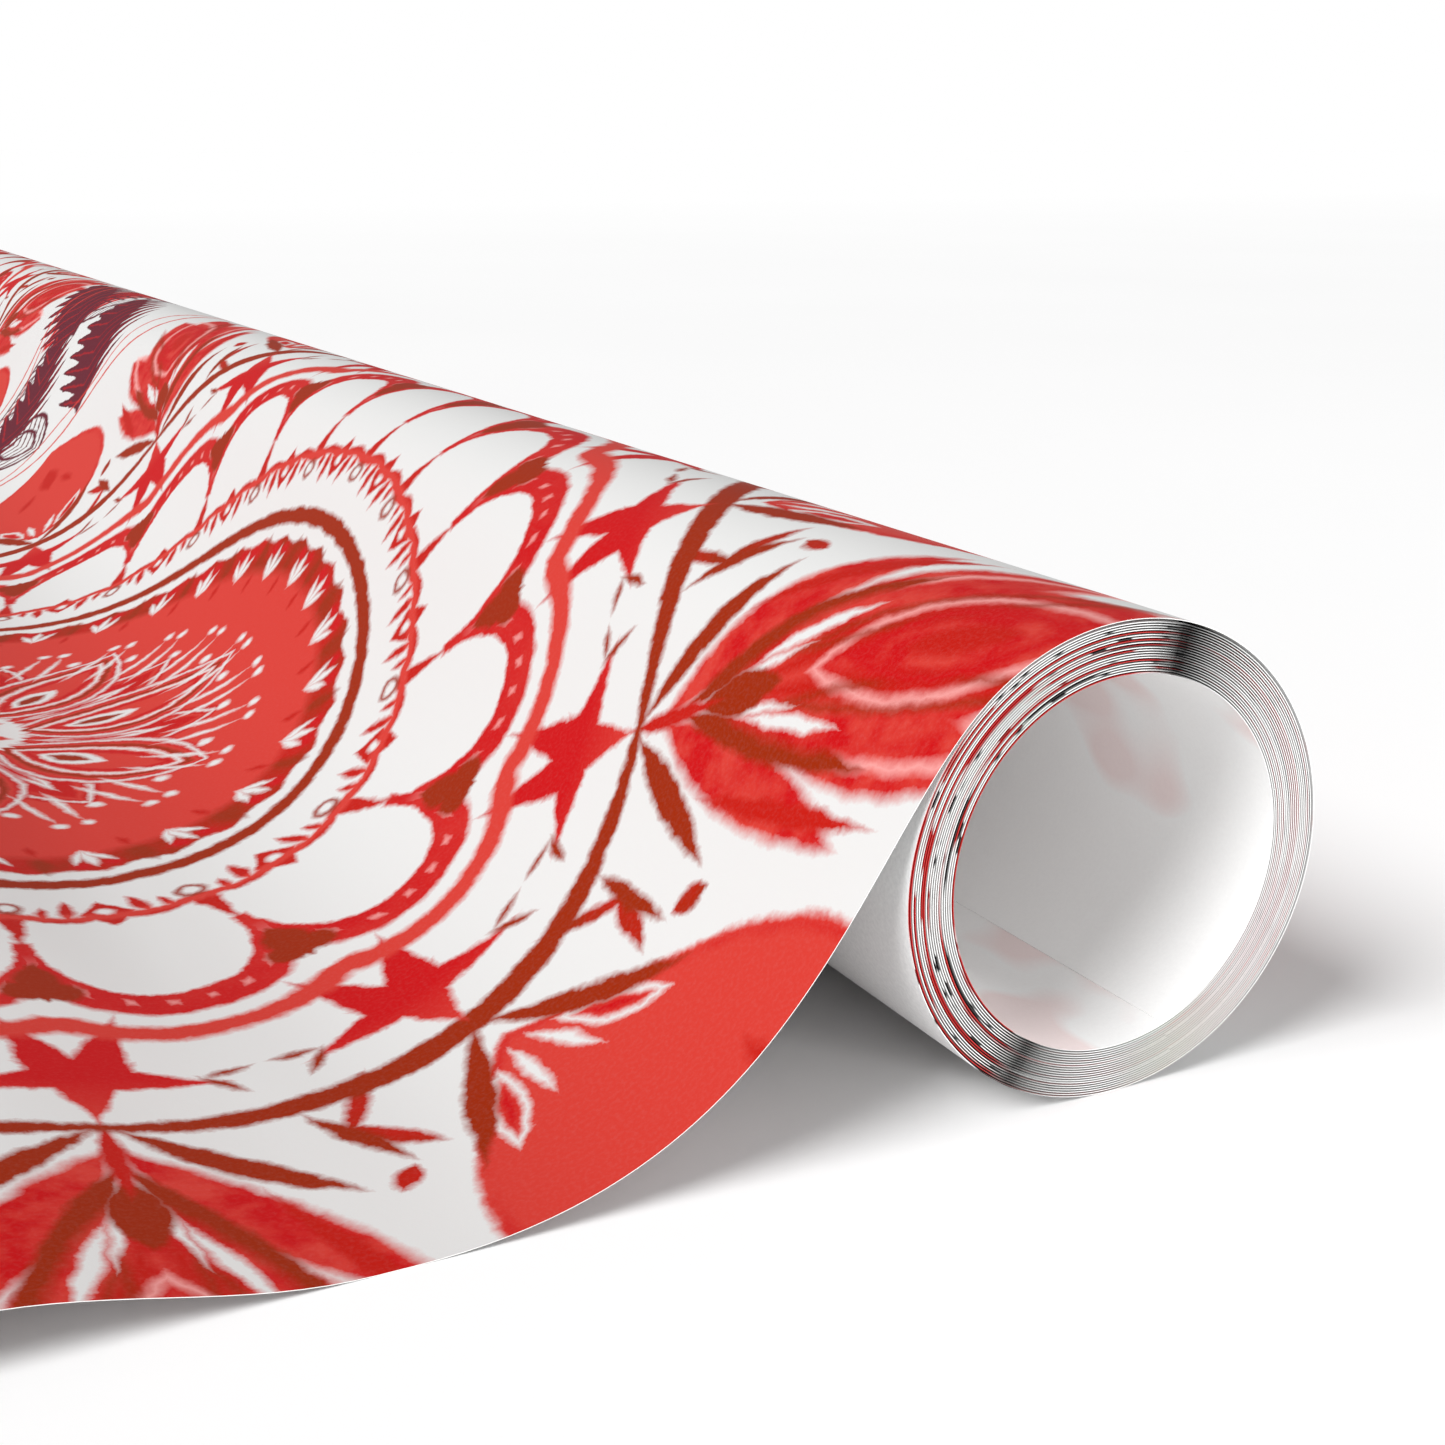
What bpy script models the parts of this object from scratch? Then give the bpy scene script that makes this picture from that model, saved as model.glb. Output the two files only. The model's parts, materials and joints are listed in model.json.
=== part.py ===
"""A coreless roll of wrapping paper with its loose end unrolled over the floor.

The paper is one long web. It is modelled as the layers that it lies in: the wound turns from
the bore outwards, the outer lap that goes over the roll, the drop from the roll to the floor,
and the free end. The roll lies along Y on the floor at Z = 0 and the loose paper runs towards
-X. The origin is the centre of the whole footprint. Angles are measured round the roll's axis
from +X towards +Z, which is also the way the web winds outwards.
"""

import math

import bpy

# Paper, in metres
PAPER_WIDTH = 0.762
PAPER_THICKNESS = 0.00012
CUT_GAP = 0.0003  # clearance where one length of the web is parted from the next

# Wound roll
BORE_RADIUS = 0.017
OUTER_RADIUS = 0.022
TURN_PITCH = 0.00022  # radial step from one turn to the next
WOUND_TURNS = 21
TURNS_IN_GROUP = 7  # turns that slide out of the roll together
SEAM_ANGLE = math.radians(-70)  # where each turn ends and the next begins
SEAM_GAP_ANGLE = math.radians(1)
FACETS_IN_TURN = 48

# Loose sheet
SHEET_REACH = 0.418  # from the roll's axis to the free edge
LEAVE_ANGLE = math.radians(133)  # where the web leaves the roll
LEAVE_PULL = 0.0155  # how far the drop keeps the direction it leaves in
LANDING_PULL = 0.0328  # how far it runs low over the floor before it lands
LANDING_REACH = 0.065  # from the roll's axis to where the web lands
LANDING_STRIP = 0.003  # flat on the floor, up to the line the free end lifts about
WAVE_LENGTH = 0.062
WAVE_HEIGHT = 0.0049
DROP_FACETS = 22
WAVE_FACETS = 24

# Places that follow from the sizes above
WEB_LEVEL = PAPER_THICKNESS / 2  # middle of the paper where it lies on the floor
WOUND_RADIUS = BORE_RADIUS + WOUND_TURNS * TURN_PITCH + PAPER_THICKNESS
LAP_RADIUS = OUTER_RADIUS - PAPER_THICKNESS / 2
ROLL_X = (SHEET_REACH - OUTER_RADIUS) / 2
ROLL_Z = WOUND_RADIUS
LIFT_LINE_X = ROLL_X - LANDING_REACH - LANDING_STRIP

# Looks
PLAIN_WHITE = (0.90, 0.90, 0.90)
PRINTED_RED = (0.78, 0.13, 0.10)
PAPER_ROUGHNESS = 0.6


def clear_scene():
    """Remove every object that the file opened with."""
    for old in list(bpy.data.objects):
        bpy.data.objects.remove(old, do_unlink=True)


def make_collection(name):
    """Link a new collection to the scene."""
    collection = bpy.data.collections.new(name)
    bpy.context.scene.collection.children.link(collection)
    return collection


def make_joint_empty(collection, name, x, z):
    """Mark a joint axis, which runs along Y through (x, z)."""
    empty = bpy.data.objects.new(name, None)
    empty.empty_display_size = OUTER_RADIUS
    empty.location = (x, 0, z)
    collection.objects.link(empty)
    return empty


def paper_material(name, colour):
    """Matte uncoated paper of one colour."""
    material = bpy.data.materials.new(name)
    material.use_nodes = True
    surface = material.node_tree.nodes["Principled BSDF"]
    surface.inputs["Base Color"].default_value = (*colour, 1)
    surface.inputs["Roughness"].default_value = PAPER_ROUGHNESS
    surface.inputs["Metallic"].default_value = 0
    return material


def web_strip(collection, name, path, parent, colour):
    """Make a full-width length of paper from the (x, z) points of its middle, seen from -Y.

    The points are measured from the parent. The strip is an extruded open curve that
    Solidify thickens evenly to both sides.
    """
    curve = bpy.data.curves.new(name, "CURVE")
    curve.dimensions = "2D"
    curve.extrude = PAPER_WIDTH / 2
    spline = curve.splines.new("POLY")
    spline.points.add(len(path) - 1)
    for point, (x, z) in zip(spline.points, path):
        point.co = (x, z, 0, 1)
    curve.materials.append(paper_material(f"{name}_paper", colour))

    strip = bpy.data.objects.new(name, curve)
    strip.parent = parent
    strip.rotation_euler = (math.radians(90), 0, 0)
    collection.objects.link(strip)

    thickness = strip.modifiers.new("paper thickness", "SOLIDIFY")
    thickness.thickness = PAPER_THICKNESS
    thickness.offset = 0
    thickness.use_even_offset = True
    return strip


def arc(radius_at, start, end, facets):
    """Points round the roll's axis. radius_at gives the radius at a share of the arc."""
    points = []
    for step in range(facets + 1):
        share = step / facets
        angle = start + (end - start) * share
        radius = radius_at(share)
        points.append((radius * math.cos(angle), radius * math.sin(angle)))
    return points


def turn_path(turn):
    """One revolution of the spiral. Turn 0 lines the bore."""
    inner = BORE_RADIUS + PAPER_THICKNESS / 2 + turn * TURN_PITCH
    end = SEAM_ANGLE + math.tau - SEAM_GAP_ANGLE
    return arc(lambda share: inner + share * TURN_PITCH, SEAM_ANGLE, end, FACETS_IN_TURN)


def lap_path():
    """The lap round the outside, from under the roll to where the web leaves it."""
    end = LEAVE_ANGLE - CUT_GAP / LAP_RADIUS
    facets = round(FACETS_IN_TURN * (end - SEAM_ANGLE) / math.tau)
    return arc(lambda share: LAP_RADIUS, SEAM_ANGLE, end, facets)


def bezier(corners, facets):
    """Points along a cubic Bezier curve through its first and last corner."""
    points = []
    for step in range(facets + 1):
        t = step / facets
        weights = ((1 - t) ** 3, 3 * t * (1 - t) ** 2, 3 * t**2 * (1 - t), t**3)
        x = sum(weight * corner[0] for weight, corner in zip(weights, corners))
        z = sum(weight * corner[1] for weight, corner in zip(weights, corners))
        points.append((x, z))
    return points


def drop_path():
    """From the roll down to the floor and along the landing strip, measured from the lift line."""
    axis_x = ROLL_X - LIFT_LINE_X
    leave_x = axis_x + LAP_RADIUS * math.cos(LEAVE_ANGLE)
    leave_z = ROLL_Z + LAP_RADIUS * math.sin(LEAVE_ANGLE)
    pull_x = leave_x - LEAVE_PULL * math.sin(LEAVE_ANGLE)
    pull_z = leave_z + LEAVE_PULL * math.cos(LEAVE_ANGLE)
    corners = [
        (leave_x, leave_z),
        (pull_x, pull_z),
        (LANDING_STRIP + LANDING_PULL, WEB_LEVEL),
        (LANDING_STRIP, WEB_LEVEL),
    ]
    return bezier(corners, DROP_FACETS) + [(CUT_GAP / 2, WEB_LEVEL)]


def free_end_path():
    """A low wave beside the lift line, then flat on the floor to the free edge."""
    start = -CUT_GAP / 2
    points = []
    for step in range(WAVE_FACETS + 1):
        share = step / WAVE_FACETS
        lift = WAVE_HEIGHT * (1 - math.cos(math.tau * share)) / 2
        points.append((start - WAVE_LENGTH * share, WEB_LEVEL + lift))
    free_edge = ROLL_X - SHEET_REACH - LIFT_LINE_X
    return points + [(free_edge, WEB_LEVEL)]


def build():
    """Make every length of the web."""
    clear_scene()
    collection = make_collection("wrapping_paper_roll")
    roll_axis = make_joint_empty(collection, "roll_axis", ROLL_X, ROLL_Z)
    lift_line = make_joint_empty(collection, "lift_line", LIFT_LINE_X, 0)
    groups = []
    for group in ("inner_turns", "middle_turns", "outer_turns"):
        empty = make_joint_empty(collection, group, 0, 0)
        empty.parent = roll_axis
        groups.append(empty)

    for turn in range(WOUND_TURNS):
        group = groups[turn // TURNS_IN_GROUP]
        web_strip(collection, f"turn_{turn + 1:02d}", turn_path(turn), group, PLAIN_WHITE)
    web_strip(collection, "outer_lap", lap_path(), roll_axis, PRINTED_RED)
    web_strip(collection, "sheet_drop", drop_path(), lift_line, PRINTED_RED)
    web_strip(collection, "free_end", free_end_path(), lift_line, PRINTED_RED)


build()
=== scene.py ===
"""Looks of the wrapping paper roll: the printed sheet, the wound turns, light, floor and camera.

Sizes are in metres, except in the print, which is drawn in millimetres on the flat paper.
"""

import json
import math

import bpy
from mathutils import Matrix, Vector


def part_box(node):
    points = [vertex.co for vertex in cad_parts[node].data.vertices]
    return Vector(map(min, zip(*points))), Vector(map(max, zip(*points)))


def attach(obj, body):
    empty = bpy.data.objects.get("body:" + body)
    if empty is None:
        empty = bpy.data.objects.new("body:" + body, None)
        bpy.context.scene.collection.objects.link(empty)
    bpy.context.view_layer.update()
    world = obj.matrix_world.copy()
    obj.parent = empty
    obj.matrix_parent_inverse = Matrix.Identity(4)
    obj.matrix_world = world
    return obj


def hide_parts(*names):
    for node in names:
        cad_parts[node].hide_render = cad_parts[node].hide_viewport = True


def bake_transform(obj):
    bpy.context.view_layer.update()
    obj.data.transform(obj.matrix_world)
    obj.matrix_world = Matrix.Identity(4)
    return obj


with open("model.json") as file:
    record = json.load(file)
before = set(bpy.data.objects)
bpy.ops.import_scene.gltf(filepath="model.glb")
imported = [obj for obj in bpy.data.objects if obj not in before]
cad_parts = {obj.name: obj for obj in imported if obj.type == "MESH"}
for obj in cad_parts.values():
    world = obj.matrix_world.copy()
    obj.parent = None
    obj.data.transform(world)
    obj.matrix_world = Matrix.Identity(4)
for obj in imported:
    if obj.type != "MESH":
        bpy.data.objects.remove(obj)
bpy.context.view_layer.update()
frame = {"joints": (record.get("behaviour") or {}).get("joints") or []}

# The frame: the roll's axis runs along Y, and the loose paper lies towards -X
JOINTS = {joint["name"]: joint for joint in frame["joints"]}
AXIS_X, _, AXIS_Z = JOINTS["roll_turn"]["pos_m"]
LIFT_LINE_X = JOINTS["free_end_lift"]["pos_m"][0]
LAP_LOW, LAP_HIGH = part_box("outer_lap")
NEAR_END = LAP_LOW.y
FAR_END = LAP_HIGH.y
LENGTH = FAR_END - NEAR_END
OUTER_RADIUS = LAP_HIGH.z - AXIS_Z
FREE_EDGE_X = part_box("free_end")[0].x

# The web, as the roll is wound
PAPER = 0.00007
TURNS = 21
TURNS_IN_GROUP = 7
TURN_PITCH = 0.00022
FIRST_TURN_OUTSIDE = 0.01715
SEAM_ANGLE = math.radians(-70)
SEAM_GAP_ANGLE = math.radians(0.02)
SEGMENTS_IN_TURN = 180
INNER_END_CLINGS = 0.08  # the share of the first turn over which its end clings to the next
INNER_END_RISE = 0.95 * (TURN_PITCH - PAPER)
GROUP_BODIES = ("inner_turns", "middle_turns", "outer_turns")
LAP_SETTLES = math.radians(60)  # the arc over which the lap rises to its full radius
LAP_UP_TO_TOP = OUTER_RADIUS * (math.radians(90) - SEAM_ANGLE)  # from the seam

# The loose sheet
LEAVE_ANGLE = math.radians(133)
LEAVE_PULL = 0.0155
LANDING_PULL = 0.0328
LANDING_REACH = 0.065
WAVE_LENGTH = 0.062
WAVE_HEIGHT = 0.0049
SHEET_ROWS = 120
LAP_SEGMENTS = 90
DROP_SEGMENTS = 48
WAVE_SEGMENTS = 32
FLAT_SEGMENTS = 60
RIPPLE_HEIGHT = 0.0012
RIPPLE_LENGTH = 0.13
RIPPLE_FADE = 0.06
CORNER_LIFT = 0.004
CORNER_REACH = 0.05

# Inks, as they look on the paper (sRGB, 0 to 255)
WHITE = (218, 218, 217)
CORAL = (202, 57, 48)
CRIMSON = (190, 8, 14)
SCARLET = (184, 22, 10)
RUST = (148, 38, 0)
MAROON = (96, 20, 38)
PINK = (236, 170, 166)
BLACK = (22, 16, 18)

# Bare paper: the shade between its fibres, and the shade of the fibres
PLAIN_SHADES = ((226, 226, 226), (247, 247, 246))
# The loose sheet's back is greyer than the plain paper: painted shade against the lamp's direct light
# on it
SHEET_BACK_DARKENED_SHADES = ((204, 204, 204), (224, 224, 223))
# The bore's paper is whiter than the plain paper: painted light that brightens the inside of the bore
BORE_LIGHTENED_SHADES = ((244, 244, 244), (252, 252, 251))
CUT_SHADES = ((222, 221, 219), (250, 250, 249))

# The end of the roll
WOUND_EDGE = (244, 244, 243)
BETWEEN_TURNS = (34, 31, 32)  # no light reaches deep into the gaps of the roll
# Painted shade on the wound edges, at the two angles round the roll where the gaps between turns are
# dark
PAINTED_GAP_SHADE = (4, 3, 4)
LEAVING_SIDE = math.radians(157)

# The layout of the print, in mm
TILE = 480.0  # the print repeats this often both ways
ROSETTE_ALONG_WEB = 100.5  # from the line along the top of the roll
ROSETTE_FROM_END = 165.0  # from the near end
SPRIG_FROM_END = 405.0
SPRIG_ALONG_WEB = 30.0
SPRIG_STEP = 160.0
INK_SPREAD = 0.45  # half the width over which an edge of ink fades
WOBBLE = 1.9  # how unsteady the drawing hand is

# The bands of a rosette, from the middle outwards: radii in mm, and how often motifs repeat
CENTRE_RADIUS = 14.0
HEART_RADIUS = 60.6
FRINGE_RADIUS = 67.2
PLAIN_RING_RADIUS = 70.6
LACE_RADIUS = 82.3
FESTOON_RADIUS = 91.0
FESTOON_HEIGHT = 17.5
FESTOON_HALF_STEP = 13.0  # half the length of one swag, round the ring
FESTOON_POWER = 2.4  # how square the swags are
BRANCH_RADIUS = 136.0
THREAD_RADIUS = 208.0
WAVY_THREAD_RADIUS = 215.0
PETALS = 8
STEMS = 12
STARS = 24
FRINGE_BUDS = 32

# The motifs of a sprig: across the web and along it in mm, and turned by degrees
FLAME_PLACE = (24, -30, 70)
BUD_PLACES = ((-9, 22, 8), (12, -26, 40), (24, 4, 75), (34, 40, 20))
LEAF_PLACES = ((-17, -12, -38), (14, 12, -62), (40, -20, -20))
DRAWN_BUD_HALF = (21, 10)  # half its length and half its width
LOBED_LEAF_HALF = (31, 19)

# Camera
CAMERA_RADII = (-4.777, -5.961, 2.738)  # from the near end's centre, in outer radii
CAMERA_TURN = math.radians(26.78)
CAMERA_DIP = math.radians(16.05)
CAMERA_LENS = 49.84

# Floor and light
FLOOR_HALF = 30.0
FLOOR_BELOW = 0.00002  # just clear of the paper that lies on it
FLOOR_SHADES = ((248, 248, 248), (252, 252, 252))
FLOOR_FAR_OFF = (255, 255, 255)
ROOM_LIGHT = 0.34  # the share of the floor's light that comes from all round
KEY_TILT = math.radians(45)  # the lamp's angle from straight overhead
KEY_TURN = math.radians(12)  # from straight left, round towards the near end
KEY_SPREAD = math.radians(33)
KEY_PLACE = (0, 0, 1)  # a lamp of this kind lights the same from anywhere
FILL_ASIDE = 0.2  # a low lamp in front that reaches into the bore
FILL_AWAY = 0.45
FILL_HEIGHT = 0.03
FILL_SIZE = 0.06
FILL_WATTS = 2.0

# Sockets of the Mix node, by place, because several share a name
MIX_FACTOR, MIX_FIRST, MIX_SECOND, MIX_RESULT = 0, 6, 7, 2


def linear(ink):
    """The scene-linear RGBA colour of an ink."""
    channels = []
    for level in ink:
        share = level / 255
        if share <= 0.04045:
            channels.append(share / 12.92)
        else:
            channels.append(((share + 0.055) / 1.055) ** 2.4)
    return (*channels, 1.0)


# ---------------------------------------------------------------- arithmetic with nodes


class Value:
    """A number that shader nodes work out. Ordinary arithmetic on it adds Math nodes."""

    def __init__(self, socket):
        self.socket = socket

    def __add__(self, other):
        return maths("ADD", self, other)

    def __radd__(self, other):
        return maths("ADD", self, other)

    def __sub__(self, other):
        return maths("SUBTRACT", self, other)

    def __rsub__(self, other):
        return maths("SUBTRACT", other, self)

    def __mul__(self, other):
        return maths("MULTIPLY", self, other)

    def __rmul__(self, other):
        return maths("MULTIPLY", self, other)

    def __truediv__(self, other):
        return maths("DIVIDE", self, other)

    def __pow__(self, other):
        return maths("POWER", self, other)

    def __abs__(self):
        return maths("ABSOLUTE", self)


def maths(operation, *operands, clamp=False):
    """A Math node on values and plain numbers."""
    tree = next(item for item in operands if isinstance(item, Value)).socket.id_data
    node = tree.nodes.new("ShaderNodeMath")
    node.operation = operation
    node.use_clamp = clamp
    for socket, operand in zip(node.inputs, operands):
        if isinstance(operand, Value):
            tree.links.new(operand.socket, socket)
        else:
            socket.default_value = operand
    return Value(node.outputs[0])


def ramp(value, slope, start):
    """value * slope + start, kept between 0 and 1."""
    return maths("MULTIPLY_ADD", value, slope, start, clamp=True)


def smaller(first, second):
    """The smaller of two values. For distances, that is the distance outside the joined shapes."""
    return maths("MINIMUM", first, second)


def larger(first, second):
    """The larger of two values. For distances, that is the distance outside the shared area."""
    return maths("MAXIMUM", first, second)


def linear_sum(first, first_times, second, second_times, plus):
    """first * first_times + second * second_times + plus."""
    part = maths("MULTIPLY_ADD", second, second_times, plus)
    return maths("MULTIPLY_ADD", first, first_times, part)


def mix(factor, first, second):
    """A colour between two, each a socket or an ink."""
    tree = factor.socket.id_data
    node = tree.nodes.new("ShaderNodeMix")
    node.data_type = "RGBA"
    tree.links.new(factor.socket, node.inputs[MIX_FACTOR])
    for place, colour in ((MIX_FIRST, first), (MIX_SECOND, second)):
        if isinstance(colour, tuple):
            node.inputs[place].default_value = linear(colour)
        else:
            tree.links.new(colour, node.inputs[place])
    return node.outputs[MIX_RESULT]


def noise(vector, scale, detail=2.0, roughness=0.5):
    """A Noise node that reads vector. Gives its value, from about 0.2 to 0.8."""
    tree = vector.id_data
    node = tree.nodes.new("ShaderNodeTexNoise")
    node.inputs["Scale"].default_value = scale
    node.inputs["Detail"].default_value = detail
    node.inputs["Roughness"].default_value = roughness
    tree.links.new(vector, node.inputs["Vector"])
    return Value(node.outputs["Fac"])


def combine(x, y):
    """A vector from two values."""
    tree = x.socket.id_data
    node = tree.nodes.new("ShaderNodeCombineXYZ")
    tree.links.new(x.socket, node.inputs["X"])
    tree.links.new(y.socket, node.inputs["Y"])
    return node.outputs["Vector"]


# ------------------------------------------------------------- shapes in the flat print


def inked(distance, spread=INK_SPREAD):
    """How much ink a point gets, from its distance outside a shape."""
    return ramp(distance, -0.5 / spread, 0.5)


class Sector:
    """A wedge of a pattern that repeats round a centre and is the same on its two halves.

    out runs from the centre along the middle of the wedge, and side runs across it. With
    between, the wedges lie halfway between those without it.
    """

    def __init__(self, radius, angle, count, between=False):
        wedge = math.pi / count
        local = maths("WRAP", angle - (wedge if between else 0.0), wedge, -wedge)
        self.share = abs(local) * (1 / wedge)
        self.out = radius * maths("COSINE", local)
        self.side = abs(radius * maths("SINE", local))

    def beside(self, foot, tip, length):
        """How far a point is along and across the line from foot to tip, both (out, side)."""
        out, side = (tip[0] - foot[0]) / length, (tip[1] - foot[1]) / length
        start = foot[0] * out + foot[1] * side
        shift = foot[0] * side - foot[1] * out
        along = linear_sum(self.out, out, self.side, side, -start)
        across = abs(linear_sum(self.out, side, self.side, -out, -shift))
        return along, across

    def leaf(self, foot, tip, half_width):
        """Distance outside a leaf with a point at each end."""
        length = math.dist(foot, tip)
        along, across = self.beside(foot, tip, length)
        belly = along * (length - along)
        return maths("MULTIPLY_ADD", belly, -4 * half_width / length**2, across)

    def thorn(self, foot, tip, half_width):
        """Distance outside a triangle with a flat foot and a pointed tip."""
        length = math.dist(foot, tip)
        along, across = self.beside(foot, tip, length)
        edge = maths("MULTIPLY_ADD", along, half_width / length, across - half_width)
        return larger(edge, along * -1)

    def disc(self, out, side, radius):
        """Distance outside a disc."""
        x, y = self.out - out, self.side - side
        return maths("SQRT", x * x + y * y) - radius


def line(distance, half_width):
    """Distance outside a line drawn along a shape's edge."""
    return abs(distance) - half_width


def ring(radius, middle, half_width):
    """Distance outside a ring round the centre."""
    return abs(radius - middle) - half_width


# ------------------------------------------------------------------------- the print


def paint_flowers(colour, radius, angle, tint, blotches):
    """The outermost band: open flowers on stems, with twigs between them."""
    stems = Sector(radius, angle, STEMS)

    wavy = radius + 2.5 * maths("COSINE", angle * (3 * STEMS))
    threads = smaller(ring(radius, THREAD_RADIUS, 0.6), ring(wavy, WAVY_THREAD_RADIUS, 0.45))
    colour = mix(inked(threads), colour, CORAL)

    # Petals from the back of the flower to the front
    outer = smaller(stems.leaf((140, 0), (170, 20), 3.8), stems.leaf((152, 0), (190, 17), 6.0))
    colour = mix(inked(outer, 0.8), colour, mix(blotches, CORAL, CRIMSON))
    colour = mix(inked(line(stems.leaf((154, 2), (189, 15), 3.6), 0.4), 0.8), colour, PINK)
    colour = mix(inked(stems.leaf((143, 0), (172, 13), 2.0)), colour, RUST)
    colour = mix(inked(stems.leaf((150, 11), (174, 19), 1.2)), colour, SCARLET)
    middle = stems.leaf((148, 0), (200, 5), 8.5)
    colour = mix(inked(middle, 0.8), colour, mix(blotches, CRIMSON, CORAL))
    colour = mix(inked(stems.leaf((152, 0), (196, 9), 1.6), 0.8), colour, SCARLET)
    colour = mix(inked(line(stems.leaf((162, 0), (196, 0), 7.0), 0.4), 0.9), colour, PINK)
    colour = mix(inked(line(stems.leaf((160, 3), (192, 9), 1.6), 0.3), 0.7), colour, RUST)
    colour = mix(inked(line(stems.leaf((168, 0), (190, 0), 4.8), 0.9), 0.9), colour, CRIMSON)
    colour = mix(inked(stems.leaf((173, 0), (185, 0), 2.2), 0.8), colour, SCARLET)
    slits = smaller(stems.leaf((154, 3.2), (167, 7.5), 0.9), stems.leaf((149, 1.4), (160, 3.4), 0.55))
    colour = mix(inked(slits), colour, WHITE)
    colour = mix(inked(stems.leaf((146, 0), (158, 0), 2.6)), colour, RUST)
    colour = mix(inked(stems.leaf((135, 0), (149, 0), 1.1)), colour, SCARLET)

    twig = smaller(stems.leaf((132, 24), (143.5, 19.5), 1.0), stems.leaf((150, 23), (154, 20.5), 1.3))
    twig = smaller(twig, stems.leaf((140, 18.5), (148, 26.5), 1.2))
    return mix(inked(twig), colour, mix(tint, RUST, SCARLET))


def paint_buds(colour, radius, angle, tint):
    """The closed buds between the flowers, and the leaves along the branch."""
    stems = Sector(radius, angle, STEMS)
    buds = Sector(radius, angle, STEMS, between=True)

    husk = buds.leaf((141, 0), (203, 0), 19)
    colour = mix(inked(husk, 0.6), colour, CORAL)
    colour = mix(inked(line(husk + 1.0, 0.5), 0.7), colour, mix(tint, CRIMSON, CORAL))
    spots = smaller(buds.leaf((176, 0), (190, 0), 2.6), buds.leaf((170, 7), (178, 4), 1.1))
    colour = mix(inked(spots, 0.8), colour, SCARLET)
    curls = line(buds.leaf((146, 4), (156, 9.5), 1.5), 0.4)
    curls = smaller(curls, buds.leaf((144, 1.2), (153, 3), 0.7))
    colour = mix(inked(curls), colour, WHITE)
    colour = mix(inked(buds.leaf((148, 5), (154, 8.5), 0.6)), colour, CRIMSON)

    leaves = smaller(buds.leaf((137, 0.4), (156, 13), 1.6), stems.leaf((136.5, 1), (152, 18), 1.7))
    leaves = smaller(leaves, buds.leaf((137, 19), (150, 16), 1.1))
    return mix(inked(leaves), colour, RUST)


def paint_garland(colour, radius, angle, tint):
    """The branch ring with the stars inside it, and the festoon that they hang from."""
    crossings = Sector(radius, angle, STEMS)
    stars = Sector(radius, angle, STARS)
    crests = Sector(radius, angle, STARS, between=True)

    branch_width = 0.7 + 1.3 * crossings.share * (2 - crossings.share)
    branch = abs(radius - BRANCH_RADIUS) - branch_width
    colour = mix(inked(branch), colour, RUST)

    star = smaller(stars.thorn((122, 0), (135, 0), 5.2), stars.thorn((125, 0), (127.5, 12.5), 3.3))
    star = smaller(star, stars.thorn((127, 0.8), (111, 5.4), 4.0))
    star_shade = ramp(radius, 0.09, -11.3)
    colour = mix(inked(star), colour, mix(star_shade, CRIMSON, CORAL))
    whiskers = stars.leaf((126, 10.5), (130, 14), 0.6)
    whiskers = smaller(whiskers, stars.leaf((126, 11), (125, 15.5), 0.5))
    colour = mix(inked(whiskers), colour, RUST)

    # The festoon's middle is where height^2 + (share of the wedge)^FESTOON_POWER is 1
    height = maths("MULTIPLY_ADD", radius, 1 / FESTOON_HEIGHT, -FESTOON_RADIUS / FESTOON_HEIGHT)
    level = height * height + crests.share**FESTOON_POWER - 1
    steep_out = height * (2 / FESTOON_HEIGHT)
    steep_round = crests.share ** (FESTOON_POWER - 1) * (FESTOON_POWER / FESTOON_HALF_STEP)
    steepness = maths("SQRT", steep_out * steep_out + steep_round * steep_round)
    from_middle = level / steepness
    under_festoon = FESTOON_RADIUS - 0.5 - radius
    crest = ramp(radius, 1 / 14, -94 / 14)
    outline = larger(line(from_middle - 6.4, 1.25), 111 - radius)
    colour = mix(inked(outline), colour, CORAL)
    festoon = abs(from_middle) - (1.1 + 1.7 * crest)
    festoon = larger(festoon, under_festoon)
    colour = mix(inked(festoon), colour, mix(tint * 0.45, CRIMSON, CORAL))
    beads = smaller(crest, maths("COSINE", angle * (7 * STARS)) - 0.4)
    beads = smaller(beads, inked(abs(from_middle) - 0.4) * 0.8)
    colour = mix(beads, colour, PINK)

    heart = smaller(stars.disc(104.2, 1.7, 2.4), stars.leaf((96.5, 0), (107, 0), 2.4))
    return mix(inked(heart), colour, RUST)


def paint_lace(colour, radius, angle):
    """A fine band of diamonds, ticks and loops, and the plain ring inside it."""
    loops = Sector(radius, angle, STARS)
    diamonds = Sector(radius, angle, STARS, between=True)

    wavy = radius + 0.5 * maths("COSINE", angle * (2 * STARS))
    lace = smaller(ring(wavy, LACE_RADIUS, 1.0), loops.thorn((82, 0), (91.5, 0), 1.8))
    knot = abs(diamonds.out - 81.2) * 0.8 + diamonds.side - 3.2
    knot = smaller(knot, diamonds.leaf((83, 4.6), (76.5, 3.6), 0.9))
    knot = smaller(knot, diamonds.leaf((83, 7.4), (78.5, 6.6), 0.7))
    colour = mix(inked(smaller(lace, knot)), colour, mix(inked(ring(radius, 82, 1)), SCARLET, CORAL))
    colour = mix(inked(diamonds.disc(80.6, 0, 0.9)), colour, WHITE)
    colour = mix(inked(line(loops.disc(79.4, 0, 1.5), 0.4)), colour, RUST)
    return mix(inked(ring(radius, PLAIN_RING_RADIUS, 1.5)), colour, RUST)


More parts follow.
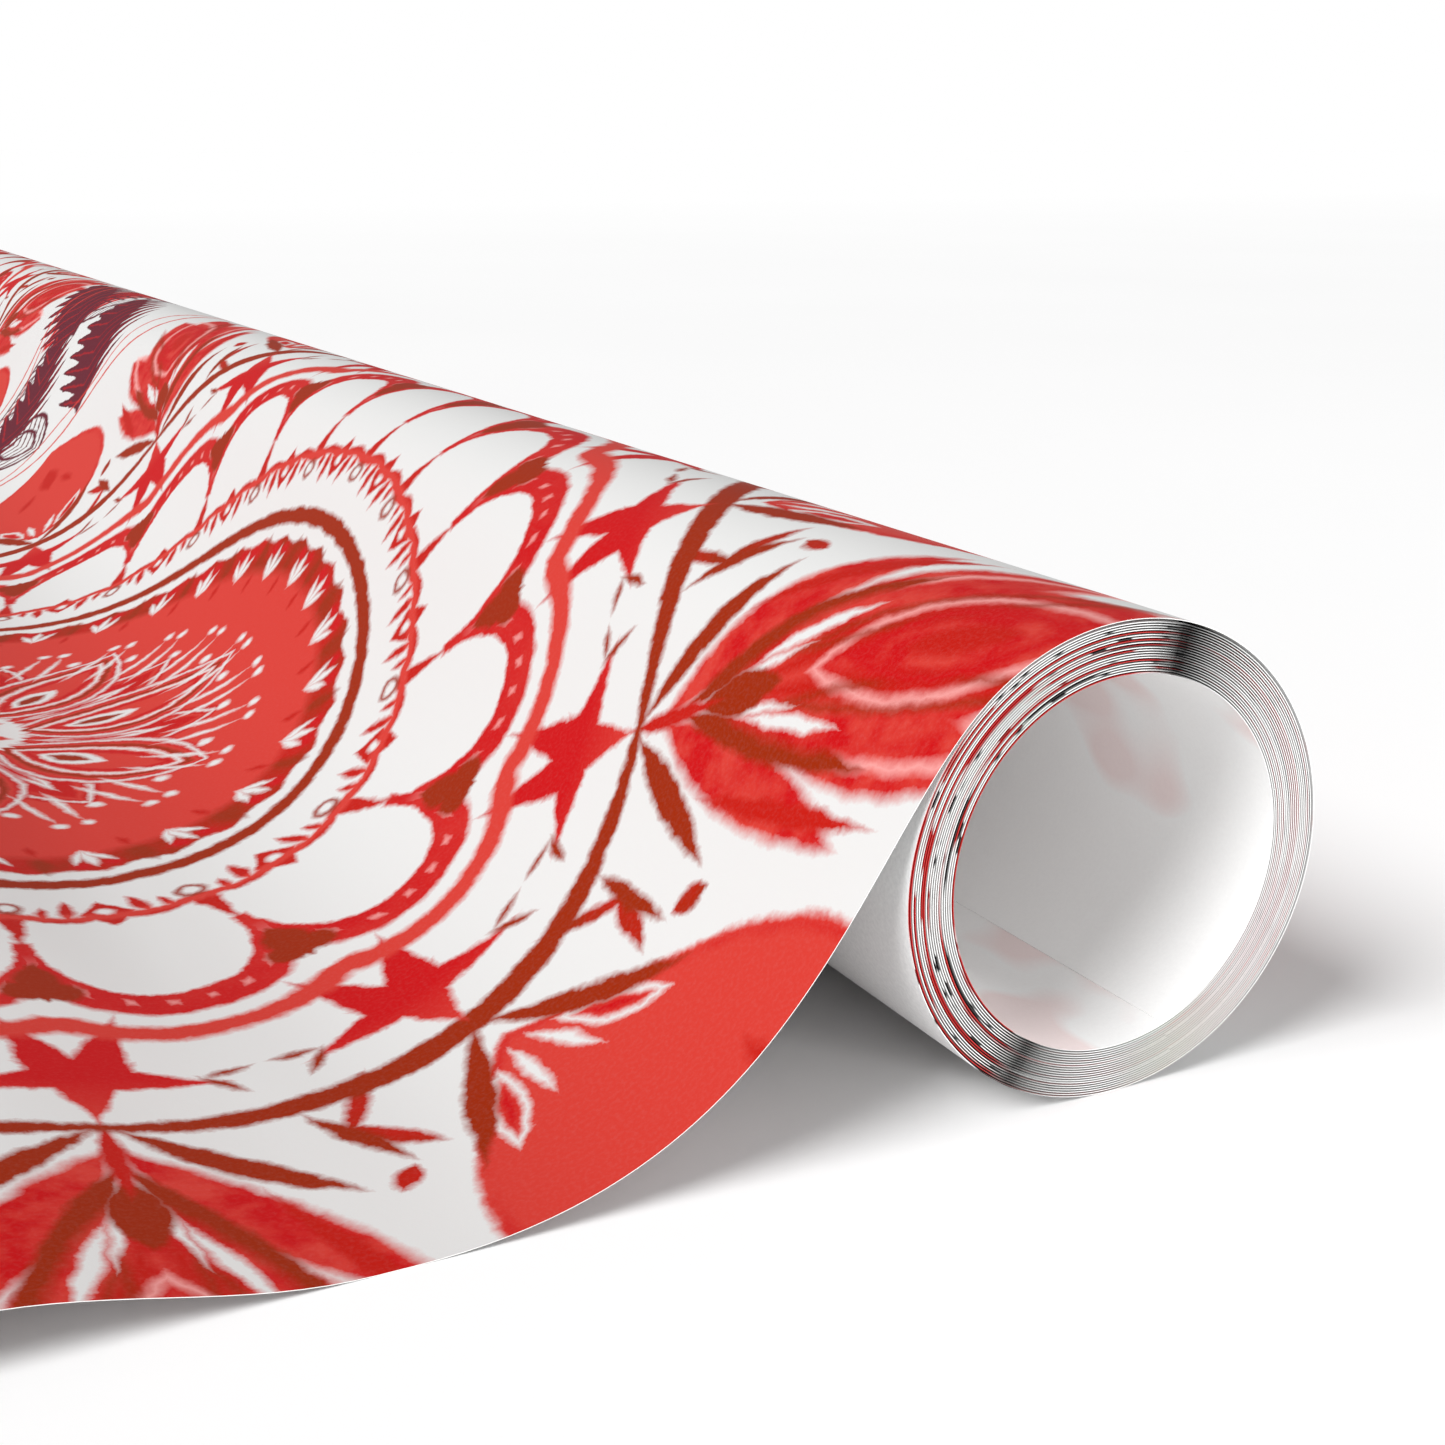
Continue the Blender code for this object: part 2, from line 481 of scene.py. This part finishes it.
def paint_heart(colour, radius, angle, tint):
    """The solid middle of a rosette, with its ragged fringe of little buds."""
    fringe_buds = Sector(radius, angle, FRINGE_BUDS)
    between = Sector(radius, angle, FRINGE_BUDS, between=True)

    ragged = radius + 1.3 * abs(maths("COSINE", angle * 24))
    colour = mix(inked(ragged - FRINGE_RADIUS), colour, mix(tint, SCARLET, RUST))
    colour = mix(inked(fringe_buds.disc(64.4, 1.9, 1.3), 0.7), colour, CRIMSON)
    colour = mix(inked(between.leaf((60, 0), (67, 0), 1.2), 0.7), colour, RUST)
    colour = mix(inked(radius - HEART_RADIUS, 1.2), colour, CORAL)
    buds = fringe_buds.leaf((59, 0), (65, 0), 0.75)
    buds = smaller(buds, fringe_buds.leaf((59, 0), (63.5, 2.6), 0.65))
    colour = mix(inked(buds), colour, WHITE)
    return mix(inked(between.leaf((56.5, 0), (60, 0), 0.6)), colour, SCARLET)


def paint_petals(colour, radius, angle, tint):
    """The eight-petalled flower at the middle of a rosette."""
    petals = Sector(radius, angle, PETALS)
    gaps = Sector(radius, angle, PETALS, between=True)
    sprays = Sector(radius, angle, STARS, between=True)

    between = gaps.leaf((10, 0), (43, 0), 7.5)
    colour = mix(inked(between), colour, mix(tint, SCARLET, CRIMSON))
    colour = mix(inked(line(between + 1.3, 0.35)), colour, WHITE)
    colour = mix(inked(line(between + 2.9, 0.4)), colour, CORAL)
    colour = mix(inked(gaps.leaf((15, 0), (34, 0), 1.4)), colour, WHITE)
    colour = mix(inked(gaps.leaf((17, 0), (30, 0), 0.6)), colour, CRIMSON)

    petal = petals.leaf((10, 0), (47, 0), 9.8)
    colour = mix(inked(petal), colour, CRIMSON)
    colour = mix(inked(line(petal + 0.9, 0.35)), colour, WHITE)
    colour = mix(inked(petal + 1.9), colour, CORAL)
    colour = mix(inked(line(petal + 3.2, 0.5)), colour, RUST)
    colour = mix(inked(line(petal + 4.5, 0.4)), colour, WHITE)
    colour = mix(inked(line(petal + 6.0, 0.5)), colour, CRIMSON)
    colour = mix(inked(petals.leaf((19, 0), (30, 0), 2.5)), colour, WHITE)
    colour = mix(inked(petals.leaf((20.5, 0), (27.5, 0), 1.2)), colour, RUST)

    sprigs = smaller(sprays.leaf((35, 2.4), (46, 4.2), 0.5), sprays.disc(48.5, 4.6, 0.9))
    sprigs = smaller(sprigs, sprays.disc(43, 0, 1.0))
    colour = mix(inked(sprigs), colour, WHITE)

    ragged = radius + 1.1 * abs(maths("COSINE", angle * 20))
    colour = mix(inked(ragged - CENTRE_RADIUS), colour, WHITE)
    return mix(inked(gaps.leaf((3, 0), (12, 0), 1.7)), colour, CORAL)


def placed(x, y, place):
    """The same point in the axes of a motif, whose place is (x, y, turned by degrees)."""
    place_x, place_y, degrees = place
    across, up = math.cos(math.radians(degrees)), math.sin(math.radians(degrees))
    x, y = x - place_x, y - place_y
    return linear_sum(x, across, y, up, 0.0), linear_sum(x, -up, y, across, 0.0)


def drawn_bud(x, y):
    """Distance outside the lines of a pen-drawn bud that lies along X, with ribs inside."""
    half_length, half_width = DRAWN_BUD_HALF
    across = abs(y)
    outline = across - half_width * (1 - x * x / half_length**2)
    shell = line(outline, 0.75)
    core = line(outline + half_width * 0.5, 0.6)
    ribs = larger(line(maths("WRAP", x - across * 1.3, 2.2, -2.2), 0.6), outline)
    return smaller(smaller(shell, core), ribs)


def lobed_leaf(rib, side):
    """Distance outside a lobed leaf that lies along its rib, with side away from the rib."""
    half_length, half_width = LOBED_LEAF_HALF
    envelope = half_width - rib * rib * (half_width / half_length**2)
    lobes = maths("COSINE", (rib - side * 0.9) * 0.95)
    return side - envelope * maths("MULTIPLY_ADD", lobes, 0.24, 0.7)


def paint_sprigs(colour, along_web, from_end):
    """Columns of dark lobed leaves, pen-drawn buds and a red flame between the rosettes."""
    x = maths("WRAP", from_end - SPRIG_FROM_END, TILE / 2, -TILE / 2)
    y = maths("WRAP", along_web - SPRIG_ALONG_WEB, SPRIG_STEP / 2, -SPRIG_STEP / 2)

    out, side = placed(x, y, FLAME_PLACE)
    sway = 3 * maths("COSINE", out * 0.2)
    flame = abs(side + sway) - (13 - out * out * 0.013)
    colour = mix(inked(flame, 0.8), colour, CRIMSON)
    colour = mix(inked(line(flame + 3.5, 0.6), 0.8), colour, PINK)

    for place in BUD_PLACES:
        out, side = placed(x, y, place)
        colour = mix(inked(drawn_bud(out, side), 0.35), colour, MAROON)

    for place in LEAF_PLACES:
        rib, side = placed(x, y, place)
        side = abs(side)
        leaf = lobed_leaf(rib, side)
        colour = mix(inked(leaf), colour, MAROON)
        veins = larger(line(maths("WRAP", rib - side * 0.9, 3.3, -3.3), 0.3), leaf + 2)
        colour = mix(inked(veins, 0.4) * 0.7, colour, CRIMSON)
    return colour


def make_print():
    """The whole print as a node group. It reads a place on the flat paper in metres."""
    group = bpy.data.node_groups.new("print", "ShaderNodeTree")
    group.interface.new_socket("along_web", in_out="INPUT", socket_type="NodeSocketFloat")
    group.interface.new_socket("from_end", in_out="INPUT", socket_type="NodeSocketFloat")
    group.interface.new_socket("colour", in_out="OUTPUT", socket_type="NodeSocketColor")
    places = group.nodes.new("NodeGroupInput")
    result = group.nodes.new("NodeGroupOutput")

    # An unsteady hand moves every edge a little
    along_web = Value(places.outputs["along_web"]) * 1000
    from_end = Value(places.outputs["from_end"]) * 1000
    flat = combine(along_web, from_end)
    along_web = along_web + WOBBLE * (noise(flat, 0.28, 4, 0.7) - 0.5)
    from_end = from_end + WOBBLE * (noise(flat, 0.37, 4, 0.7) - 0.5)

    x = maths("WRAP", from_end - ROSETTE_FROM_END, TILE / 2, -TILE / 2)
    y = maths("WRAP", along_web - ROSETTE_ALONG_WEB, TILE / 2, -TILE / 2)
    radius = maths("SQRT", x * x + y * y)
    angle = maths("ARCTAN2", y, x)
    tint = ramp(noise(flat, 0.07, 4, 0.6), 4, -1.5)
    blotches = ramp(noise(flat, 0.16, 3, 0.6), 5, -2.0)

    colour = paint_sprigs(WHITE, along_web, from_end)
    colour = paint_flowers(colour, radius, angle, tint, blotches)
    colour = paint_buds(colour, radius, angle, tint)
    colour = paint_garland(colour, radius, angle, tint)
    colour = paint_lace(colour, radius, angle)
    colour = paint_heart(colour, radius, angle, tint)
    colour = paint_petals(colour, radius, angle, tint)
    group.links.new(colour, result.inputs["colour"])
    return group


# --------------------------------------------------------------------------- materials


def new_material(name, roughness, specular=0.3):
    """A material with a Principled shader. Gives the material, its tree and the shader."""
    material = bpy.data.materials.new(name)
    material.use_nodes = True
    tree = material.node_tree
    surface = tree.nodes["Principled BSDF"]
    surface.inputs["Roughness"].default_value = roughness
    surface.inputs["Specular IOR Level"].default_value = specular
    return material, tree, surface


def paper_place(tree):
    """Where a point lies on the flat paper: (along the web, from the near end), in metres."""
    places = tree.nodes.new("ShaderNodeUVMap")
    places.uv_map = "paper"
    split = tree.nodes.new("ShaderNodeSeparateXYZ")
    tree.links.new(places.outputs["UV"], split.inputs["Vector"])
    return places.outputs["UV"], Value(split.outputs["X"]), Value(split.outputs["Y"])


def print_colour(tree, print_group, along_web, from_end):
    """The print's colour at a place on the flat paper."""
    node = tree.nodes.new("ShaderNodeGroup")
    node.node_tree = print_group
    tree.links.new(along_web.socket, node.inputs["along_web"])
    tree.links.new(from_end.socket, node.inputs["from_end"])
    return node.outputs["colour"]


def add_grain(tree, surface, flat, depth):
    """Fine paper fibre as a bump. Gives the grain, about 0.5 on average."""
    fibre = noise(flat, 2200, 3, 0.65)
    bump = tree.nodes.new("ShaderNodeBump")
    bump.inputs["Strength"].default_value = 0.5
    bump.inputs["Distance"].default_value = depth
    tree.links.new(fibre.socket, bump.inputs["Height"])
    tree.links.new(bump.outputs["Normal"], surface.inputs["Normal"])
    return fibre


def printed_paper(print_group):
    """The printed face: smooth paper with a soft, uneven sheen."""
    material, tree, surface = new_material("printed_paper", 0.5, 0.06)
    flat, along_web, from_end = paper_place(tree)
    printed = print_colour(tree, print_group, along_web, from_end)
    fibre = add_grain(tree, surface, flat, 0.00002)
    faded = mix(ramp(fibre, 0.1, -0.045), printed, WHITE)
    tree.links.new(faded, surface.inputs["Base Color"])
    roughness = maths("MULTIPLY_ADD", fibre, 0.2, 0.38)
    tree.links.new(roughness.socket, surface.inputs["Roughness"])
    return material


def plain_paper():
    """The unprinted face: white, with a visible fibre."""
    material, tree, surface = new_material("plain_paper", 0.7, 0.2)
    flat, _, _ = paper_place(tree)
    fibre = add_grain(tree, surface, flat, 0.00004)
    colour = mix(ramp(fibre, 1.6, -0.3), *PLAIN_SHADES)
    tree.links.new(colour, surface.inputs["Base Color"])
    return material


def sheet_back(print_group):
    """The unprinted face of the loose sheet, with the print showing through faintly. Its white is
    darker than the plain paper's: painted shade that tones down the lamp's direct light on it.
    """
    material, tree, surface = new_material("sheet_back", 0.7, 0.1)
    flat, along_web, from_end = paper_place(tree)
    printed = print_colour(tree, print_group, along_web, from_end)
    fibre = add_grain(tree, surface, flat, 0.00004)
    # Painted shade: a darker copy of the paper's white
    white = mix(ramp(fibre, 1.6, -0.3), *SHEET_BACK_DARKENED_SHADES)
    through = maths("MULTIPLY_ADD", fibre, 0.2, 0.04)
    tree.links.new(mix(through, white, printed), surface.inputs["Base Color"])
    return material


def bore_paper():
    """The back of the first turn, which lines the bore, with the print showing through. Its white is
    lighter than the plain paper's: painted light that brightens the bore.
    """
    material, tree, surface = new_material("bore_paper", 0.55, 0.3)
    flat, along_web, from_end = paper_place(tree)
    fibre = add_grain(tree, surface, flat, 0.00003)
    # Painted light: a lighter copy of the paper's white
    colour = mix(ramp(fibre, 1.2, -0.1), *BORE_LIGHTENED_SHADES)
    patches = noise(combine(along_web * 1.6, from_end), 30, 2, 0.5)
    through = ramp(patches, 22, -12.1) * 0.3
    colour = mix(through, colour, PINK)
    tree.links.new(colour, surface.inputs["Base Color"])
    return material


def cut_edge():
    """The cut edge of the sheet: bare fibre, slightly rough."""
    material, tree, surface = new_material("cut_edge", 0.8, 0.1)
    coordinates = tree.nodes.new("ShaderNodeTexCoord")
    fibre = noise(coordinates.outputs["Object"], 4000, 2)
    colour = mix(ramp(fibre, 1.6, -0.3), *CUT_SHADES)
    tree.links.new(colour, surface.inputs["Base Color"])
    return material


def depth_from_end(from_end):
    """How far a point is from the nearer end of the roll, in mm."""
    middle = LENGTH / 2
    return maths("MULTIPLY_ADD", abs(from_end - middle), -1000, middle * 1000)


def facing_leaving_side(tree):
    """1 on the side of the roll that the loose paper leaves, and -1 opposite."""
    coordinates = tree.nodes.new("ShaderNodeTexCoord")
    split = tree.nodes.new("ShaderNodeSeparateXYZ")
    tree.links.new(coordinates.outputs["Object"], split.inputs["Vector"])
    x, z = Value(split.outputs["X"]) - AXIS_X, Value(split.outputs["Z"]) - AXIS_Z
    away = linear_sum(x, math.cos(LEAVING_SIDE), z, math.sin(LEAVING_SIDE), 0.0)
    return away / maths("SQRT", x * x + z * z)


def edge_scraps(along_web, from_end):
    """Scraps of motif where the print runs over the web's edge: long red runs, black dashes."""
    strip = combine(along_web, from_end * 0.2)
    runs = ramp(noise(strip, 11, 1), 40, -20.6)
    fine_runs = ramp(noise(strip, 45, 1), 40, -23.6)
    dashes = ramp(noise(strip, 420, 0), 12, -6.6)
    stretches = ramp(noise(strip, 24, 0), 40, -21.6)
    dark_runs = ramp(noise(strip, 31, 0), 40, -28)
    red = mix(ramp(noise(strip, 40, 1), 6, -2.5), SCARLET, CRIMSON)
    black = larger(dashes * stretches, dark_runs)
    red_runs = larger(runs, fine_runs)
    return larger(black, red_runs), mix(red_runs, mix(black, WHITE, BLACK), red)


def wound_print():
    """The printed face of a wound turn: scraps of motif at its ends, and shade further in."""
    material, tree, surface = new_material("wound_print", 0.6, 0.1)
    _, along_web, from_end = paper_place(tree)
    _, colour = edge_scraps(along_web, from_end)
    shade = ramp(depth_from_end(from_end), 0.8, -0.12)
    tree.links.new(mix(shade, colour, BETWEEN_TURNS), surface.inputs["Base Color"])
    return material


def group_print(print_group):
    """The printed face that a group of turns shows when it is drawn out of the roll."""
    material, tree, surface = new_material("group_print", 0.5, 0.06)
    _, along_web, from_end = paper_place(tree)
    printed = print_colour(tree, print_group, along_web, from_end)
    _, scraps = edge_scraps(along_web, from_end)
    further_in = ramp(depth_from_end(from_end), 1, -0.6)
    colour = mix(further_in, scraps, printed)
    tree.links.new(colour, surface.inputs["Base Color"])
    return material


def wound_edge():
    """The cut edge of a wound turn: bare fibre, inked where a motif runs over it.

    At two angles round the roll's axis the edges are painted nearly black: painted shade that stands
    in for the dark gaps between turns, which one looks straight into there.
    """
    material, tree, surface = new_material("wound_edge", 0.8, 0.1)
    _, along_web, from_end = paper_place(tree)
    inked_share, scraps = edge_scraps(along_web, from_end)
    leaving = facing_leaving_side(tree)
    bleeds = ramp(leaving, 8, -1) * inked_share * 0.95
    colour = mix(bleeds, WOUND_EDGE, scraps)
    # Painted shade: the edges darken towards two angles round the roll's axis, sharply on one side
    # and slowly on the other
    rise = ramp(leaving, 1.8, 0.8) ** 2
    fall = ramp(leaving, -6, 1.9)
    gap_shade_painted = smaller(rise, fall) * 0.97
    tree.links.new(mix(gap_shade_painted, colour, PAINTED_GAP_SHADE), surface.inputs["Base Color"])
    return material


def wound_back():
    """The plain face of a wound turn, with print showing through faintly and shade further in."""
    material, tree, surface = new_material("wound_back", 0.7, 0.1)
    _, along_web, from_end = paper_place(tree)
    strip = combine(along_web, from_end * 0.2)
    through = ramp(noise(strip, 30, 2), 6, -3.1) * 0.4
    colour = mix(through, WHITE, PINK)
    shade = ramp(depth_from_end(from_end), 1.6, -0.1)
    tree.links.new(mix(shade, colour, BETWEEN_TURNS), surface.inputs["Base Color"])
    return material


def seamless_floor():
    """A matte pale studio floor."""
    material, tree, surface = new_material("studio_floor", 0.9, 0.0)
    coordinates = tree.nodes.new("ShaderNodeTexCoord")
    split = tree.nodes.new("ShaderNodeSeparateXYZ")
    tree.links.new(coordinates.outputs["Object"], split.inputs["Vector"])
    mottle = noise(coordinates.outputs["Object"], 3, 3)
    near = mix(mottle, *FLOOR_SHADES)
    away = ramp(Value(split.outputs["Y"]), 0.5, -0.2)
    tree.links.new(mix(away, near, FLOOR_FAR_OFF), surface.inputs["Base Color"])
    return material


# ------------------------------------------------------------------------------- meshes


def paper_strip(name, path, rows, materials, lift_at=None):
    """A length of paper from (x, z, distance along the web) points, printed face outwards.

    rows are the shares of the web's width where the strip has vertices. lift_at gives their
    height above the path, from x and the row. Solidify gives the strip its thickness, with the
    back and the cut edges in the second and third material.
    """
    vertices = []
    for x, z, _ in path:
        for row in rows:
            lift = lift_at(x, row) if lift_at else 0.0
            vertices.append((x, NEAR_END + LENGTH * row, z + lift))
    count = len(rows)
    faces = []
    for step in range(len(path) - 1):
        for row in range(count - 1):
            corner = step * count + row
            faces.append((corner, corner + 1, corner + count + 1, corner + count))
    mesh = bpy.data.meshes.new(name)
    mesh.from_pydata(vertices, [], faces)
    places = mesh.uv_layers.new(name="paper")
    for loop in mesh.loops:
        step, row = divmod(loop.vertex_index, count)
        places.data[loop.index].uv = (path[step][2], LENGTH * rows[row])
    mesh.shade_smooth()
    for material in materials:
        mesh.materials.append(material)

    strip = bpy.data.objects.new(name, mesh)
    bpy.context.scene.collection.objects.link(strip)
    thickness = strip.modifiers.new("paper thickness", "SOLIDIFY")
    thickness.thickness = PAPER
    thickness.offset = -1
    thickness.material_offset = 1
    thickness.material_offset_rim = 2
    creases = strip.modifiers.new("sharp cut edges", "EDGE_SPLIT")
    creases.split_angle = math.radians(40)
    return strip


def with_distances(points, start):
    """Add the distance along the web to each (x, z) point, counted from start."""
    distance = start
    path = [(*points[0], distance)]
    for before, after in zip(points, points[1:]):
        distance += math.dist(before, after)
        path.append((*after, distance))
    return path


def path_length(points):
    """The length of the line through (x, z) points."""
    return sum(math.dist(before, after) for before, after in zip(points, points[1:]))


def around(radius, angle):
    """The (x, z) point at an angle round the roll's axis."""
    return AXIS_X + radius * math.cos(angle), AXIS_Z + radius * math.sin(angle)


def turn_points(turn):
    """One revolution of the spiral's printed face. Turn 0 lines the bore."""
    points = []
    for step in range(SEGMENTS_IN_TURN + 1):
        share = step / SEGMENTS_IN_TURN
        radius = FIRST_TURN_OUTSIDE + (turn + share) * TURN_PITCH
        if turn == 0:
            radius += INNER_END_RISE * max(0, 1 - share / INNER_END_CLINGS)
        points.append(around(radius, SEAM_ANGLE + share * (math.tau - SEAM_GAP_ANGLE)))
    return points


def lap_points():
    """The outer lap, which rises from the last turn and then lies evenly round the roll."""
    last_outside = FIRST_TURN_OUTSIDE + TURNS * TURN_PITCH
    points = []
    for step in range(LAP_SEGMENTS):
        angle = SEAM_ANGLE + (LEAVE_ANGLE - SEAM_ANGLE) * step / LAP_SEGMENTS
        risen = min(1, (angle - SEAM_ANGLE) / LAP_SETTLES)
        radius = last_outside + (OUTER_RADIUS - last_outside) * risen
        points.append(around(radius, angle))
    return points


def drop_points():
    """From the roll to the lift line, along one cubic Bezier curve and a short flat."""
    leave = around(OUTER_RADIUS, LEAVE_ANGLE)
    pull = (
        leave[0] - LEAVE_PULL * math.sin(LEAVE_ANGLE),
        leave[1] + LEAVE_PULL * math.cos(LEAVE_ANGLE),
    )
    landing = (AXIS_X - LANDING_REACH, PAPER)
    glide = (landing[0] + LANDING_PULL, PAPER)
    points = []
    for step in range(DROP_SEGMENTS + 1):
        t = step / DROP_SEGMENTS
        weights = ((1 - t) ** 3, 3 * t * (1 - t) ** 2, 3 * t**2 * (1 - t), t**3)
        corners = (leave, pull, glide, landing)
        x = sum(weight * corner[0] for weight, corner in zip(weights, corners))
        z = sum(weight * corner[1] for weight, corner in zip(weights, corners))
        points.append((x, z))
    return points + [(LIFT_LINE_X, PAPER)]


def free_points():
    """The wave beside the lift line, and the flat stretch to the free edge."""
    points = []
    for step in range(1, WAVE_SEGMENTS + 1):
        share = step / WAVE_SEGMENTS
        lift = WAVE_HEIGHT * (1 - math.cos(math.tau * share)) / 2
        points.append((LIFT_LINE_X - WAVE_LENGTH * share, PAPER + lift))
    flat_start = points[-1][0]
    for step in range(1, FLAT_SEGMENTS + 1):
        share = step / FLAT_SEGMENTS
        points.append((flat_start + (FREE_EDGE_X - flat_start) * share, PAPER))
    return points


def sheet_ripple(x, row):
    """Height of the slight ripples in the paper on the floor, and of its raised corners."""
    past = LIFT_LINE_X - WAVE_LENGTH - x
    if past <= 0:
        return 0.0
    fade = min(1, past / RIPPLE_FADE)
    swing = past / RIPPLE_LENGTH + 0.35 * math.sin(5 * row + 0.6)
    swell = (1 - math.cos(math.tau * swing)) / 2
    corner = max(0, 1 - (x - FREE_EDGE_X) / CORNER_REACH) ** 2 * (2 * row - 1) ** 4
    return RIPPLE_HEIGHT * fade * swell + CORNER_LIFT * corner


def make_sheet(materials):
    """The outer lap, the drop and the free end as one unbroken sheet."""
    points = lap_points() + drop_points() + free_points()
    path = with_distances(points, -LAP_UP_TO_TOP)
    rows = [row / SHEET_ROWS for row in range(SHEET_ROWS + 1)]
    sheet = paper_strip("printed_sheet", path, rows, materials, sheet_ripple)
    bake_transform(sheet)
    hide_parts("outer_lap", "sheet_drop", "free_end")


def make_turns(faces):
    """Every wound turn, from the outermost in, so that the web's length runs on."""
    end = -LAP_UP_TO_TOP
    for turn in reversed(range(TURNS)):
        name = f"turn_{turn + 1:02d}"
        points = turn_points(turn)
        end -= path_length(points)
        path = with_distances(points, end)
        place_in_group = turn % TURNS_IN_GROUP
        outside = faces["group"] if place_in_group == TURNS_IN_GROUP - 1 else faces["wound"]
        inside = faces["plain"] if place_in_group == 0 else faces["back"]
        if turn == 0:
            inside = faces["bore"]
        if turn == TURNS - 1:
            outside = faces["plain"]
        strip = paper_strip(f"paper_{name}", path, (0.0, 1.0), (outside, inside, faces["wound_edge"]))
        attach(strip, GROUP_BODIES[turn // TURNS_IN_GROUP])
        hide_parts(name)


# -------------------------------------------------------------------------------- stage


def make_camera():
    """Look at the near end from the left front and above."""
    data = bpy.data.cameras.new("camera")
    data.lens = CAMERA_LENS
    data.sensor_width = 36
    data.clip_start = 0.005
    camera = bpy.data.objects.new("camera", data)
    across, along, up = (radii * OUTER_RADIUS for radii in CAMERA_RADII)
    camera.location = (AXIS_X + across, NEAR_END + along, AXIS_Z + up)
    camera.rotation_euler = (math.radians(90) - CAMERA_DIP, 0, -CAMERA_TURN)
    bpy.context.scene.collection.objects.link(camera)
    bpy.context.scene.camera = camera


def make_floor():
    """A pale floor that reaches the horizon."""
    mesh = bpy.data.meshes.new("floor")
    corners = [(-1, -1, 0), (1, -1, 0), (1, 1, 0), (-1, 1, 0)]
    mesh.from_pydata([(x * FLOOR_HALF, y * FLOOR_HALF, z) for x, y, z in corners], [], [(0, 1, 2, 3)])
    mesh.materials.append(seamless_floor())
    floor = bpy.data.objects.new("floor", mesh)
    floor.location.z = -FLOOR_BELOW
    bpy.context.scene.collection.objects.link(floor)


def make_room():
    """Even light from all round. The room itself looks white."""
    world = bpy.data.worlds.new("room")
    world.use_nodes = True
    tree = world.node_tree
    background = tree.nodes["Background"]
    path = tree.nodes.new("ShaderNodeLightPath")
    seen = Value(path.outputs["Is Camera Ray"])
    strength = maths("MULTIPLY_ADD", seen, 1 - ROOM_LIGHT, ROOM_LIGHT)
    tree.links.new(strength.socket, background.inputs["Strength"])
    background.inputs["Color"].default_value = (1, 1, 1, 1)
    bpy.context.scene.world = world
    bpy.context.scene.view_settings.view_transform = "Standard"


def hang_lamp(data, location, rotation):
    """Put a lamp in the room."""
    lamp = bpy.data.objects.new(data.name, data)
    lamp.location = location
    lamp.rotation_euler = rotation
    bpy.context.scene.collection.objects.link(lamp)


def make_lamps():
    """A wide soft lamp high on the left, and a small low one in front of the bore."""
    key = bpy.data.lights.new("key", "SUN")
    key.angle = KEY_SPREAD
    key.energy = math.pi * (1 - ROOM_LIGHT) / math.cos(KEY_TILT)
    hang_lamp(key, KEY_PLACE, (0, -KEY_TILT, KEY_TURN))

    fill = bpy.data.lights.new("fill", "AREA")
    fill.size = FILL_SIZE
    fill.energy = FILL_WATTS
    place = (AXIS_X + FILL_ASIDE, NEAR_END - FILL_AWAY, FILL_HEIGHT)
    hang_lamp(fill, place, (math.radians(90), 0, math.atan2(FILL_ASIDE, FILL_AWAY)))


make_camera()
make_floor()
make_room()
make_lamps()
print_group = make_print()
paper_faces = {
    "printed": printed_paper(print_group),
    "wound": wound_print(),
    "group": group_print(print_group),
    "back": wound_back(),
    "plain": plain_paper(),
    "sheet_back": sheet_back(print_group),
    "bore": bore_paper(),
    "edge": cut_edge(),
    "wound_edge": wound_edge(),
}
make_sheet((paper_faces["printed"], paper_faces["sheet_back"], paper_faces["edge"]))
make_turns(paper_faces)
